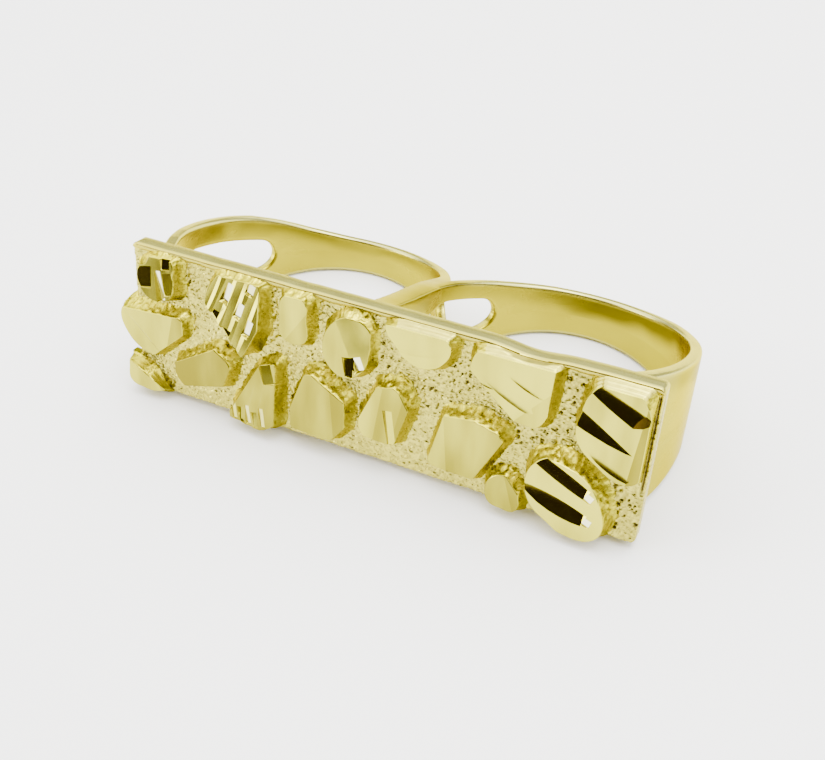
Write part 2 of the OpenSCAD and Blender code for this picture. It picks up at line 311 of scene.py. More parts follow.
class StudioSettings(bpy.types.PropertyGroup):
    """Light of the studio"""

    overhead: light_prop("Overhead light", "Strength of the large soft light above", 1.2, "POWER")
    sky: light_prop("Ceiling", "Brightness of the pale ceiling", 6.0)
    low: light_prop("Far walls", "Brightness of the room low down", 0.8)
    warmth: colour_prop("Warm edge", "Tint of the dark side's soft edge", (1.0, 0.55, 0.32))
    window: light_prop("Window", "Brightness of the window low at the left", 14.0)
    dark: light_prop("Dark front", "Brightness of the dark side of the room, in front of the ring", 0.03)


# ---- Small tools


def mm(value):
    """Metres as millimetres."""
    return value * 1000


class Dims:
    """The shared sizes in millimetres, with what follows from them."""

    def __init__(self, sizes):
        for name in RingSizes.__annotations__:
            setattr(self, name, mm(getattr(sizes, name)))
        self.left_x = self.middle_x - (self.side_wall + self.left_finger_w) / 2
        self.right_x = self.middle_x + (self.side_wall + self.right_finger_w) / 2
        self.deepest = max(self.left_depth, self.right_depth)
        self.mid_z = -self.plate_h / 2
        self.sink = self.plate_t / 2
        self.nugget_low = self.plate_h + self.overhang_down
        band_low = self.plate_h / 2 + self.back_w / 2
        self.lean = atan((self.nugget_low - band_low) / (self.deepest - self.sink))
        # an opening seen from the side: two circles and the straight lines that touch both
        slope = (self.foot_w - self.back_w) / 2 / (self.deepest - self.plate_t)
        self.turn = atan(slope)
        rail_line = self.back_w / 2 - self.rail_w + slope * self.deepest
        self.front_y = (self.plate_t + self.front_web + cos(self.turn) * rail_line) / (1 + sin(self.turn))
        self.rear_y = (self.opening_back - cos(self.turn) * rail_line) / (1 - sin(self.turn))
        self.front_r = self.front_y - self.plate_t - self.front_web
        self.rear_r = self.opening_back - self.rear_y

    def matrix(self):
        """Place of the ring's own frame in the row frame, leaned back as the ring rests."""
        c, s = cos(self.lean), sin(self.lean)
        right_reach = self.right_x + self.right_finger_w / 2 + self.side_wall
        back_reach = self.deepest * c + (self.back_w / 2 - self.plate_h / 2) * s
        low = self.nugget_low * c + self.sink * s
        place = Vector((mm(CAD_HIGH.x) - right_reach, mm(CAD_HIGH.y) - back_reach, low))
        return Matrix.Scale(MM, 4) @ Matrix.Translation(place) @ Matrix.Rotation(-self.lean, 4, "X")


def rows(table, columns):
    """Rows of a table as dicts by column name."""
    return [dict(zip(columns, row)) for row in table]


def smooth(low, high, value):
    """Soft step from 0 at low to 1 at high; low may be the larger one."""
    t = np.clip((value - low) / (high - low), 0, 1)
    return t * t * (3 - 2 * t)


def rounded(away, radius):
    """How far a rounded edge falls back at a distance from it."""
    return radius - sqrt(max(0.0, radius**2 - (radius - min(away, radius)) ** 2))


def wobble(x, y, z, size, seed):
    """Soft noise between about -1 and 1."""
    return noise.noise(Vector((x / size + seed, y / size, z / size)))


def nearest(x, y, z, size, seed):
    """Distance to the nearest of scattered points, as a share of their spacing."""
    return noise.voronoi(Vector((x / size + seed, y / size, z / size)))[0][0]


def grains(x, y, z, size, seed):
    """Rounded grains: 1 on a grain's crown and near 0 between grains."""
    near = nearest(x, y, z, size, seed)
    return max(0.0, 1 - near * near * 2.2)


def make_piece(name, mesh, dims, materials):
    """Links a mesh drawn in the ring's own frame as a piece of the ring."""
    mesh.transform(dims.matrix())
    old = bpy.data.objects.get(name)
    if old:
        bpy.data.objects.remove(old)
    piece = bpy.data.objects.new(name, mesh)
    bpy.context.scene.collection.objects.link(piece)
    for material in materials:
        mesh.materials.append(material)
    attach(piece, "root")
    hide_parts("nugget_ring")


def paint(mesh, name, values):
    """Stores one number at each point of a mesh, for its finish."""
    mesh.attributes.new(name, "FLOAT", "POINT").data.foreach_set("value", np.array(values, np.float32))


def grid_faces(count_u, count_v, start=0, closed_v=False):
    """Quads of a grid whose points run along v first."""
    faces = []
    for i in range(count_u - 1):
        for j in range(count_v if closed_v else count_v - 1):
            k = (j + 1) % count_v
            a, b = start + i * count_v, start + (i + 1) * count_v
            faces.append((a + j, b + j, b + k, a + k))
    return faces


# ---- Finishes


class Value:
    """A number that varies over a surface. Python arithmetic on it adds Math nodes."""

    def __init__(self, finish, socket):
        self.finish, self.socket = finish, socket

    def _math(self, operation, *inputs):
        return self.finish.node("ShaderNodeMath", {"operation": operation}, dict(enumerate(inputs)))

    def __add__(self, other):
        return self._math("ADD", self, other)

    __radd__ = __add__

    def __sub__(self, other):
        return self._math("SUBTRACT", self, other)

    def __rsub__(self, other):
        return self._math("SUBTRACT", other, self)

    def __mul__(self, other):
        return self._math("MULTIPLY", self, other)

    __rmul__ = __mul__

    def step(self, low, high):
        """Soft step from 0 at low to 1 at high."""
        sockets = {"Value": self, "From Min": low, "From Max": high}
        return self.finish.node("ShaderNodeMapRange", {"interpolation_type": "SMOOTHSTEP"}, sockets, "Result")


class Finish:
    """A material or world whose nodes are made by one method."""

    def __init__(self, owner):
        owner.use_nodes = True
        self.owner, self.tree = owner, owner.node_tree
        self.tree.nodes.clear()

    def node(self, kind, settings=None, sockets=None, output=0):
        """Adds a node of that type, sets its settings and then its sockets, and returns one output as a Value."""
        made = self.tree.nodes.new(kind)
        for key, value in (settings or {}).items():
            setattr(made, key, value)
        for key, value in (sockets or {}).items():
            if isinstance(value, Value):
                self.tree.links.new(value.socket, made.inputs[key])
            else:
                made.inputs[key].default_value = value
        return Value(self, made.outputs[output]) if len(made.outputs) else made

    def mix(self, factor, first, second):
        """Colour between two colours."""
        # a Mix node's colours are its sockets 6 and 7 and its output 2
        colours = {6: first, 7: second}
        sockets = {key: value if isinstance(value, Value) else (*value[:3], 1) for key, value in colours.items()}
        return self.node("ShaderNodeMix", {"data_type": "RGBA"}, {0: factor, **sockets}, 2)

    def painted(self, name):
        """The number that was painted on the mesh under that name."""
        return self.node("ShaderNodeAttribute", {"attribute_name": name}, None, "Fac")

    def spots(self, scale, stretch=(1, 1, 1), detail=3.0):
        """Noise between 0 and 1 in object coordinates, which are stretched along each axis."""
        where = self.node("ShaderNodeTexCoord", output="Object")
        where = self.node("ShaderNodeVectorMath", {"operation": "MULTIPLY"}, {0: where, 1: stretch})
        return self.node("ShaderNodeTexNoise", None, {"Vector": where, "Scale": scale, "Detail": detail})

    def bump(self, height, distance, strength):
        """Fine relief of that height, in metres."""
        return self.node("ShaderNodeBump", None, {"Height": height, "Distance": distance, "Strength": strength})

    def metal(self, colour, roughness, normal, glance):
        """Ends the material in a metal, tinted where it is seen at a glancing angle, and returns the material."""
        sockets = {"Base Color": colour, "Roughness": roughness, "Normal": normal}
        constants = {"Metallic": 1.0, "Specular Tint": (*glance, 1)}
        shader = self.node("ShaderNodeBsdfPrincipled", None, {**sockets, **constants})
        self.node("ShaderNodeOutputMaterial", None, {"Surface": shader})
        return self.owner


def new_material(name):
    """The material of that name, made if it isn't there yet."""
    return bpy.data.materials.get(name) or bpy.data.materials.new(name)


def toned(colour, share):
    """A colour made darker or brighter."""
    return [min(1.0, c * share) for c in colour]


def polished_gold(colours):
    """Diamond-cut faces: mirror bright, with the faint straight lines that the cutting wheel leaves; the painted tone
    adds painted shade and white glints.
    """
    f = Finish(new_material("polished_gold"))
    lines = f.spots(700, (1.0, 1.0, 0.06), 4.0)
    clouds = f.spots(520, (1, 1, 0.22), 1.5)
    waves = f.spots(330, (1, 1, 0.6), 0.5)
    tone = f.painted("tone")
    # painted shade: the painted tone darkens the gold towards a deep colour in place of darker reflections, varied by
    # clouds and cutting lines
    deep = [c * share for c, share in zip(colours.polished, (0.36, 0.33, 0.2))]
    shade = tone * 0.85 + clouds.step(0.3, 0.7) * 0.3 + lines.step(0.35, 0.65) * 0.12 - 0.12
    colour = f.mix(shade.step(-0.05, 1.05), colours.polished, deep)
    # painted highlight: a negative tone turns the face to the near-white glint colour
    colour = f.mix((0 - tone).step(0.0, 1.0), colour, colours.painted_glint)
    relief = f.bump(lines * 0.06 + waves, 0.00022, 0.6)
    return f.metal(colour, 0.08 + lines * 0.08 + clouds * 0.05, relief, (1.0, 0.96, 0.75))


def stepped_gold(colours):
    """Small steps between a nugget and the plate's rim: pale, filed smooth and a little dull."""
    f = Finish(new_material("stepped_gold"))
    specks = f.spots(1800)
    colour = f.mix(specks.step(0.3, 0.7), toned(colours.ground, 0.8), colours.ground)
    return f.metal(colour, 0.22 + specks * 0.2, f.bump(specks, 0.00002, 0.5), (1.0, 0.94, 0.7))


def band_gold(colours):
    """Smooth bands: hand polished, slightly cloudy, with pale edges that are partly wear and partly a painted sheen,
    and painted shade under their upper edges.
    """
    f = Finish(new_material("band_gold"))
    clouds = f.spots(110, detail=4.0)
    hairs = f.spots(700, (0.35, 0.35, 1.6), 5.0)
    colour = f.mix(clouds.step(0.3, 0.75), toned(colours.band, 0.92), colours.band)
    # painted shade from the painted deep attribute
    colour = f.mix(f.painted("deep"), colour, colours.shade_streak)
    # paler edges and outsides: partly wear, partly a painted sheen
    colour = f.mix(f.painted("pale"), colour, colours.edge)
    relief = f.bump(clouds * 0.7 + hairs * 0.3, 0.00003, 0.3)
    return f.metal(colour, 0.16 + clouds * 0.10 + hairs * 0.10, relief, (1.0, 0.88, 0.3))


def grainy_gold(colours):
    """Granulated sides of the nuggets: deep yellow, unpolished, with painted light: lighter grain crowns and upward
    sides, darker between grains.
    """
    f = Finish(new_material("grainy_gold"))
    specks = f.spots(3000)
    crown = f.mix(specks.step(0.35, 0.7), colours.grainy, toned(colours.grainy, 1.18))
    # painted highlight on grain crowns and upward sides, painted shade between grains
    colour = f.mix(f.painted("crown"), toned(colours.grainy, 0.5), crown)
    return f.metal(colour, 0.18 + specks * 0.25, f.bump(specks, 0.00009, 0.7), (1.0, 0.9, 0.18))


def pitted_gold(colours):
    """Face of the plate: pale granulated gold with dark pits."""
    f = Finish(new_material("pitted_gold"))
    specks = f.spots(3200, detail=2.0)
    pit = f.painted("pit")
    base = f.mix(f.spots(260).step(0.35, 0.7), toned(colours.ground, 0.88), colours.ground)
    base = f.mix(specks.step(0.40, 0.58), toned(colours.ground, 0.66), base)
    colour = f.mix(pit, base, colours.pit)
    return f.metal(colour, 0.18 + specks * 0.2 + pit * 0.2, f.bump(specks, 0.00010, 0.7), (1.0, 0.95, 0.7))


# ---- Plate

# The worn dip in the plate's top edge: its middle, its reach to each side and its depth
WORN_X, WORN_REACH, WORN_DEPTH = 12.2, 2.2, 0.3


def plate_top(x):
    """Height of the plate's top edge, which is worn down a little towards the right."""
    return -max(0.0, WORN_DEPTH * float(np.exp(-(((x - WORN_X) / WORN_REACH) ** 2))) + 0.05 * wobble(x, 0, 0, 2.5, 37))


class OBJECT_OT_ring_plate(bpy.types.Operator):
    """Builds the plate: a pitted sheet with a raised, worn rim and rounded edges"""

    bl_idname = "object.ring_plate"
    bl_label = "Plate"

    # spacing of the face's points, and radius of the plate's softened edges
    spacing, soft = 0.08, 0.12
    # spacing of the pits; their reach as a share of it and their depth, each with how much more it is in pitted metal
    pit_spacing, pit_wide, pit_wider, pit_deep, pit_deeper = 0.42, 0.16, 0.24, 0.10, 0.14
    # crack along the plate's right end: how far in, and the heights between which each of its ends runs out
    crack_in, crack_foot, crack_head = 0.26, (-8.6, -7.9), (-0.5, -0.9)
    # how far the rim's slope starts below the rim's lower edge, and how far it ends above it
    rim_foot, rim_head = 0.22, 0.12
    # how pale the rim, the top edge and the lower edge are painted: partly wear, partly a painted sheen, palest on the
    # top edge
    rim_pale, top_pale, low_pale = 0.3, 1.0, 0.4

    def relief(self, x, z, d, places):
        """Height of the plate's face over its sheet, and how deep in a pit the place is."""
        away = [(p["share"], p["reach"], np.hypot(x - p["x"], z - p["z"])) for p in places]
        pitted = max(share * (1 - smooth(0.4 * reach, reach, distance)) for share, reach, distance in away)
        grain = grains(x, 0, z, d.grain, 3)
        rough = 0.07 * grain + 0.03 * wobble(x, 0, z, 0.14, 7) + 0.05 * wobble(x, 0, z, 1.3, 11)
        size = (self.pit_wide + self.pit_wider * pitted) * (0.7 + 1.1 * wobble(x, 0, z, 0.7, 17))
        near = nearest(x, self.pit_spacing / 2, z, self.pit_spacing, 5)
        pit = float(1 - smooth(size * 0.55, size, near)) if size > 0.08 else 0.0
        beside = abs(x - d.plate_w / 2 + self.crack_in + 0.03 * wobble(0, 0, z, 0.6, 19))
        crack = float(smooth(0.13, 0.05, beside) * smooth(*self.crack_foot, z) * smooth(*self.crack_head, z))
        pit = max(pit, crack)
        height = rough - (self.pit_deep + self.pit_deeper * pitted) * pit
        above = z + 0.06 * wobble(x, 0, z, 1.1, 29)
        rim = float(smooth(-d.rim_w - self.rim_foot, -d.rim_w + self.rim_head, above))
        height = height * (1 - rim) + rim * (d.rim_rise + 0.02 * wobble(x, 0, z, 1.5, 31))
        return height, min(1.0, pit + 0.25 * (1 - grain) * pitted) * (1 - rim)

    def execute(self, context):
        d = Dims(context.scene.ring_sizes)
        colours = context.scene.ring_colours
        places = rows(PITTED, PITTED_COLUMNS)
        half, soft = d.plate_w / 2, self.soft
        ends = [soft * (1 - cos(radians(a))) for a in (0, 30, 60)]
        xs = [*(-half + s for s in ends), *np.arange(-half + soft, half - soft + 1e-6, self.spacing)]
        xs += [half - s for s in reversed(ends)]
        count = int(d.plate_h / self.spacing)
        # the sheet's edge from the face to the back: depth, and how far it has rounded inwards
        back = d.plate_t - soft
        edge_rows = [(0.15, 0), (0.5, 0), (back, 0), (d.plate_t - soft * 0.3, soft * 0.3), (d.plate_t, soft)]
        points, pits, polish, pale = [], [], [], []
        for x in xs:
            end = half - abs(x)
            corner, shrink = rounded(end, d.plate_corner), rounded(end, soft)
            top, low = plate_top(x) - corner, -d.plate_h + corner
            for j in range(count + 1):
                z = low + (top - low) * j / count
                height, pit = self.relief(x, z, d, places)
                height -= rounded(min(z - low, top - z), soft)
                points.append((x, -height + shrink, z))
                pits.append(pit)
                polish.append(z > top - d.rim_w - 0.05)
                pale.append(self.rim_pale)
            # the top edge painted palest and the lower edge less: partly wear, partly a painted sheen
            edge = [(y, top - inset, self.top_pale) for y, inset in edge_rows]
            edge += [(y, low + inset, self.low_pale) for y, inset in reversed(edge_rows)]
            for y, z, worn in edge:
                points.append((x, min(y, d.plate_t - shrink), z))
                pits.append(0)
                polish.append(True)
                pale.append(worn)
        ring = count + 1 + 2 * len(edge_rows)
        first = list(range(ring))
        last = [(len(xs) - 1) * ring + j for j in reversed(first)]
        mesh = bpy.data.meshes.new("plate")
        mesh.from_pydata(points, [], [*grid_faces(len(xs), ring, closed_v=True), first, last])
        paint(mesh, "pit", pits)
        paint(mesh, "pale", pale)
        for polygon in mesh.polygons:
            polygon.use_smooth = True
            polygon.material_index = int(all(polish[v] for v in polygon.vertices))
        mesh.set_sharp_from_angle(angle=radians(75))
        make_piece("plate", mesh, d, [pitted_gold(colours), band_gold(colours)])
        return {"FINISHED"}


# ---- Nuggets


def falling(turn, slope):
    """Slopes in x and z of a face that falls towards turn, from +X, by slope, both in degrees."""
    return -tan(radians(slope)) * np.array([cos(radians(turn)), sin(radians(turn))])


class OBJECT_OT_ring_nuggets(bpy.types.Operator):
    """Builds the nuggets: flat or grooved diamond-cut tops on granulated, spreading sides"""

    bl_idname = "object.ring_nuggets"
    bl_label = "Nuggets"

    # points round a top's outline, spacing at which its creases are looked for, and how near to a crease a point counts
    # as on it
    samples, search, on_crease = 240, 0.035, 0.003
    # tangent faces along a cut, and the places across its scoop at which they touch it
    cut_steps, scoop_places = 6, (0.0, 0.35, 0.7, 1.0)
    # places along and across a cell where the metal's height is taken, depth of its face under the lowest of them, and
    # how steep its sides are
    cell_places, cell_depth, cell_wall = (-1, -0.5, 0, 0.5, 1), 0.03, 2.6
    # numbers of the faces that shade as one: the top, ends of cuts, cells, their sides, bevels, and the first cut
    top_group, stop_group, cell_group, wall_group, bevel_group, cut_group = 0, 3, 4, 5, 6, 10
    # bare metal left at the plate's right end, and how much further in the tops end
    seam, top_inset = 0.34, 0.06
    # highest place of a top's outline, how far its sides end below the plate's top edge, and a top's least height
    top_edge, step_edge, least_rise = -0.5, 0.12, 0.15
    # depth behind the plate's face to which the sides run down, before their last row goes on into the sheet
    foot_y = 0.12
    # how much further a side spreads where it faces upwards and to the right
    spread_up, spread_right = 0.45, 0.3
    # how many times larger the coarse grains of upward sides are, and their share there
    coarse, coarse_share = 1.9, 0.75
    # how far grains stand out, how much more on upward sides, and how far the fine and the slow waves do
    grain_push, grain_push_up, fine_push, wave_push = 0.12, 0.06, 0.05, 0.10
    # share of the drop and of the outward spread at each row of a side, from the top's edge to the foot
    side_rows = [
        (0.0, 0.0), (0.03, 0.07), (0.10, 0.13), (0.20, 0.20), (0.32, 0.28), (0.44, 0.38),
        (0.56, 0.48), (0.68, 0.60), (0.78, 0.74), (0.86, 0.88), (0.93, 1.05), (1.0, 1.25),
    ]
    # the same rows where the side faces the rim and falls in steps
    step_rows = [
        (0.0, 0.0), (0.10, 0.04), (0.12, 0.28), (0.30, 0.32), (0.34, 0.36), (0.36, 0.56),
        (0.58, 0.60), (0.62, 0.64), (0.64, 0.86), (0.80, 0.90), (0.9, 1.0), (1.0, 1.25),
    ]

    def outline(self, n, angle):
        """Point of the top's outline and the way outward there: a curve through the radii, cut by the trims."""
        t = (degrees(angle) - n["turn"]) % 360 / 45
        k, f = int(t) % 8, t - int(t)
        a, b, c, e = (n["radii"][(k + i) % 8] for i in (-1, 0, 1, 2))
        square, cube = 2 * a - 5 * b + 4 * c - e, 3 * (b - c) + e - a
        radius = b + 0.5 * f * (c - a + f * (square + f * cube))
        slope = 0.5 * (c - a + 2 * f * square + 3 * f * f * cube) / radians(45)
        right, up = cos(angle), sin(angle)
        way = Vector((right, up))
        out = Vector((radius * right + slope * up, radius * up - slope * right)).normalized()
        for trim in n["trims"]:
            normal = Vector((cos(radians(trim["out"])), sin(radians(trim["out"]))))
            gap = (trim["x"] - n["x"]) * normal[0] + (trim["z"] - n["z"]) * normal[1]
            facing = way.dot(normal)
            if facing > 0.05 and gap / facing < radius:
                radius, out = gap / facing, normal
        return Vector((n["x"], n["z"])) + radius * way, out

    def face(self, n, place, deep, grad, tone, group):
        """A face through a place under the top, as its height at the origin, slopes in x and z, tone and group."""
        return (*(n["top"] + np.array([-deep - np.dot(grad, place), *grad])), tone, group)

    def cut_faces(self, n, cut, group):
        """Faces of a cut: tangents along its scoop, its steep back and the face that ends it."""
        start, end = np.array([cut["x0"], cut["z0"]]), np.array([cut["x1"], cut["z1"]])
        length = np.hypot(*(end - start))
        along = (end - start) / length
        across = np.array([along[1], -along[0]])
        share = np.linspace(0.05, 0.95, self.cut_steps)
        deep = cut["deep0"] * (1 - share) + cut["deep1"] * share + 4 * cut["bow"] * share * (1 - share)
        fall = (cut["deep1"] - cut["deep0"] + 4 * cut["bow"] * (1 - 2 * share)) / length
        slope, curve = 0.6 * deep.max() / cut["wide"], 0.4 * deep.max() / cut["wide"] ** 2
        back = -tan(radians(cut["back"])) * across
        faces = []
        for s, low, f in zip(share, deep, fall):
            middle = start + s * length * along
            for t in np.array(self.scoop_places) * cut["wide"]:
                rise, steep = slope * t + curve * t * t, slope + 2 * curve * t
                grad = steep * across - f * along
                faces.append(self.face(n, middle + t * across, low - rise, grad, n["tone"], group))
            faces.append(self.face(n, middle, low, back - f * along, n["tone"], group + 1))
        if cut["stop"]:
            # an end that falls to the left gets the painted white glint colour
            tone = -1.0 if cut["fall"] > 120 else n["tone"]
            faces.append(self.face(n, end, 0, falling(cut["fall"], cut["stop"]), tone, self.stop_group))
        return faces

    def cell_faces(self, n, cell, pits):
        """Faces of a cell that is cut across the cuts made so far: its flat face and its four steep sides."""
        middle, grad = np.array([cell["x"], cell["z"]]), falling(cell["fall"], cell["slope"])
        turn = radians(cell["turn"])
        along, across = np.array([cos(turn), sin(turn)]), np.array([-sin(turn), cos(turn)])
        long, wide = cell["long"] / 2, cell["wide"] / 2
        places = [(a, b) for a in self.cell_places for b in self.cell_places]
        spots = np.array([middle + a * along * long + b * across * wide for a, b in places])
        high, _ = self.heights(*self.listed(n, pits), *spots.T)
        level = (high - (spots - middle) @ grad).min() - self.cell_depth
        faces = [(level - grad @ middle, *grad, cell["tone"], self.cell_group)]
        for way, half in ((along, long), (across, wide)):
            for side in (-1, 1):
                edge, steep = middle + side * half * way, grad + side * self.cell_wall * way
                faces.append((level + grad @ (edge - middle) - steep @ edge, *steep, 0.5, self.wall_group))
        return faces

    def planes(self, n):
        """The faces of the top and of each cut, bevel and cell in one table, and where each one's start in it."""
        nod, yaw = tan(radians(n["nod"])), tan(radians(n["yaw"]))
        n["top"] = np.array([n["rise"] - yaw * n["x"] - nod * n["z"], yaw, nod])
        pits = [self.cut_faces(n, cut, self.cut_group + 2 * k) for k, cut in enumerate(n["cuts"])]
        for bevel in n["bevels"]:
            place, grad = np.array([bevel["x"], bevel["z"]]), falling(bevel["turn"], bevel["slope"])
            pits.append([self.face(n, place, 0, grad, bevel["tone"], self.bevel_group)])
        for cell in n["cells"]:
            pits.append(self.cell_faces(n, cell, pits))
        return self.listed(n, pits)

    def listed(self, n, pits):
        """All faces in one table, and where each cut's faces start in it."""
        flat = [(*n["top"], n["tone"], self.top_group)] + [face for faces in pits for face in faces]
        return np.array(flat), [0, *np.cumsum([1] + [len(faces) for faces in pits])]

    def heights(self, flat, starts, x, z):
        """Height of the cut top at each place, and which face it lies on."""
        every = flat[:, :3] @ np.stack([np.ones_like(x), x, z])
        parts = list(zip(starts[:-1], starts[1:]))
        tops = np.array([every[a:b].max(0) for a, b in parts])
        which = np.array([every[a:b].argmax(0) + a for a, b in parts])
        low, at = tops.argmin(0), np.arange(len(x))
        return tops[low, at], which[low, at]

    def creases(self, flat, starts, n):
        """Straight lines on which two faces of the cut top meet: a point, the normal and both ends along the line."""
        reach = max(n["radii"]) + 0.1
        steps = np.arange(-reach, reach, self.search)
        x, z = np.meshgrid(n["x"] + steps, n["z"] + steps, indexing="ij")
        which = self.heights(flat, starts, x.ravel(), z.ravel())[1].reshape(x.shape)
        met = {}
        for here, there, px, pz in (
            (which[:-1], which[1:], x[:-1], z[:-1]),
            (which[:, :-1], which[:, 1:], x[:, :-1], z[:, :-1]),
        ):
            differ = here != there
            for i, j, a, b in zip(here[differ], there[differ], px[differ], pz[differ]):
                met.setdefault((min(i, j), max(i, j)), []).append((a, b))
        found = []
        for (i, j), places in sorted(met.items()):
            e = flat[i][:3] - flat[j][:3]
            size = np.hypot(e[1], e[2])
            if size < 1e-6:
                continue
            normal, places = e[1:] / size, np.array(places)
            places = places[np.abs(e[0] / size + places @ normal) < 2 * self.search]
            if len(places):
                run = places @ np.array([-normal[1], normal[0]])
                found.append((-e[0] / size * normal, normal, run.min() - 0.05, run.max() + 0.05))
        return found

    def cut_crease(self, bm, foot, normal, low, high):
        """Cuts the faces that a crease crosses along its line."""
        crossed = set()
        for face in bm.faces:
            off = [(v.co.x - foot[0]) * normal[0] + (v.co.z - foot[1]) * normal[1] for v in face.verts]
            run = [v.co.z * normal[0] - v.co.x * normal[1] for v in face.verts]
            if min(off) < -self.on_crease and max(off) > self.on_crease and max(run) > low and min(run) < high:
                crossed.update([face, *face.verts, *face.edges])
        if crossed:
            plane = {"plane_co": (foot[0], 0, foot[1]), "plane_no": (normal[0], 0, normal[1])}
            bmesh.ops.bisect_plane(bm, geom=list(crossed), dist=self.on_crease, **plane)

    def add_top(self, bm, n, d):
        """Adds the top: its outline, cut along its creases and set to the heights of its faces."""
        tone, group = bm.faces.layers.float["tone"], bm.faces.layers.int["group"]
        flat, starts = self.planes(n)
        points = [self.outline(n, 2 * pi * k / self.samples)[0] for k in range(self.samples)]
        right_end = d.plate_w / 2 - self.seam - self.top_inset
        bm.faces.new([bm.verts.new((min(p.x, right_end), 0, min(p.y, self.top_edge))) for p in points])
        for line in self.creases(flat, starts, n):
            self.cut_crease(bm, *line)
        middles = [face.calc_center_median() for face in bm.faces]
        _, which = self.heights(flat, starts, *np.array([(p.x, p.z) for p in middles]).T)
        for face, k in zip(bm.faces, which):
            face[tone], face[group] = flat[k][3], int(flat[k][4])
            face.smooth = True
        height, _ = self.heights(flat, starts, *np.array([(v.co.x, v.co.z) for v in bm.verts]).T)
        for v, h in zip(bm.verts, height):
            v.co.y = -max(self.least_rise, h)
        bm.normal_update()
        for face in bm.faces:
            if face.normal.y > 0:
                face.normal_flip()
        for edge in bm.edges:
            edge.smooth = len(edge.link_faces) == 2 and len({face[group] for face in edge.link_faces}) == 1

    def boundary(self, bm, n):
        """The top's edge in order, each point with the way outward there."""
        edge_verts = {v for e in bm.edges if len(e.link_faces) == 1 for v in e.verts}
        start = min(edge_verts, key=lambda v: (v.co.x, v.co.z))
        ordered, v, last = [], start, None
        while True:
            _, out = self.outline(n, np.arctan2(v.co.z - n["z"], v.co.x - n["x"]))
            ordered.append((v, out))
            open_edges = [e for e in v.link_edges if len(e.link_faces) == 1]
            following = [e.other_vert(v) for e in open_edges if e.other_vert(v) is not last]
            last, v = v, following[0]
            if v is start:
                return ordered

    def side_point(self, v, out, row, n, d):
        """Place of a point of a row under a point of the top's edge, how stepped its side is and how bright it is
        painted.
        """
        number = n["number"]
        stepped = n["steps"] * float(smooth(0.55, 0.8, out.y) * smooth(-1.6, -0.9, v.co.z))
        share, outward = (a + (b - a) * stepped for a, b in zip(self.side_rows[row], self.step_rows[row]))
        y = v.co.y + (self.foot_y - v.co.y) * share if row < len(self.side_rows) - 1 else d.sink
        upward = float(smooth(-0.1, 0.5, out.y)) * (1 - stepped)
        reach = d.spread * outward * (1 + self.spread_up * upward + self.spread_right * max(0.0, out.x))
        x, z = v.co.x + out.x * reach, v.co.z + out.y * reach
        small, large = grains(x, y, z, d.grain, number), grains(x, y, z, d.grain * self.coarse, number + 20)
        grain = small + (large - small) * self.coarse_share * upward
        fine = wobble(x, y, z, 0.12, number)
        wave = wobble(x, y, z, 1.1, number + 40)
        amount = float(smooth(0.03, 0.2, share)) * (1 - 0.85 * stepped) * (0.25 + 0.75 * upward)
        stand = (self.grain_push + self.grain_push_up * upward) * (grain - 0.5)
        push = amount * (stand + self.fine_push * fine + self.wave_push * wave * share)
        x, z = x + out.x * push, z + out.y * push
        z = min(max(z, -d.nugget_low), plate_top(x) - self.step_edge)
        x = min(max(x, -d.plate_w / 2 - d.overhang_left), d.plate_w / 2 - self.seam)
        # painted light: lighter on grain crowns and on sides that face upwards, darker between grains
        bright = min(1.0, max(0.0, 0.25 + 0.9 * grain + 0.3 * fine)) * (0.5 + 0.5 * upward)
        return (x, y, z), stepped, bright

    def add_sides(self, bm, n, d):
        """Adds the rows of points from the top's edge to the foot, and the foot itself inside the plate."""
        crown, tone = bm.verts.layers.float["crown"], bm.faces.layers.float["tone"]
        edge = self.boundary(bm, n)
        before = [v for v, _ in edge]
        for row in range(1, len(self.side_rows)):
            here, steps = [], []
            for v, out in edge:
                place, stepped, bright = self.side_point(v, out, row, n, d)
                here.append(bm.verts.new(place))
                here[-1][crown] = bright
                steps.append(stepped)
            for k, stepped in enumerate(steps):
                m = (k + 1) % len(here)
                face = bm.faces.new((before[k], before[m], here[m], here[k]))
                face.smooth = True
                # the first row is cut like the top, the others are stepped or grainy
                face.material_index = 0 if row == 1 else 2 if stepped > 0.5 else 1
                face[tone] = n["tone"]
            before = here
        bm.faces.new(before).material_index = 1

    def execute(self, context):
        d = Dims(context.scene.ring_sizes)
        colours = context.scene.ring_colours
        materials = [polished_gold(colours), grainy_gold(colours), stepped_gold(colours)]
        tables = {
            "trims": rows(TRIMS, TRIM_COLUMNS),
            "cuts": rows(CUTS, CUT_COLUMNS),
            "bevels": rows(BEVELS, BEVEL_COLUMNS),
            "cells": rows(CELLS, CELL_COLUMNS),
        }
        for number, n in enumerate(rows(NUGGETS, NUGGET_COLUMNS), 1):
            n["number"] = number
            for key, table in tables.items():
                n[key] = [row for row in table if row["nugget"] == number]
            bm = bmesh.new()
            bm.verts.layers.float.new("crown")
            bm.faces.layers.float.new("tone")
            bm.faces.layers.int.new("group")
            self.add_top(bm, n, d)
            self.add_sides(bm, n, d)
            bmesh.ops.recalc_face_normals(bm, faces=bm.faces[:])
            name = f"nugget_{number:02d}"
            mesh = bpy.data.meshes.new(name)
            bm.to_mesh(mesh)
            bm.free()
            make_piece(name, mesh, d, materials)
        return {"FINISHED"}


# ---- Bands


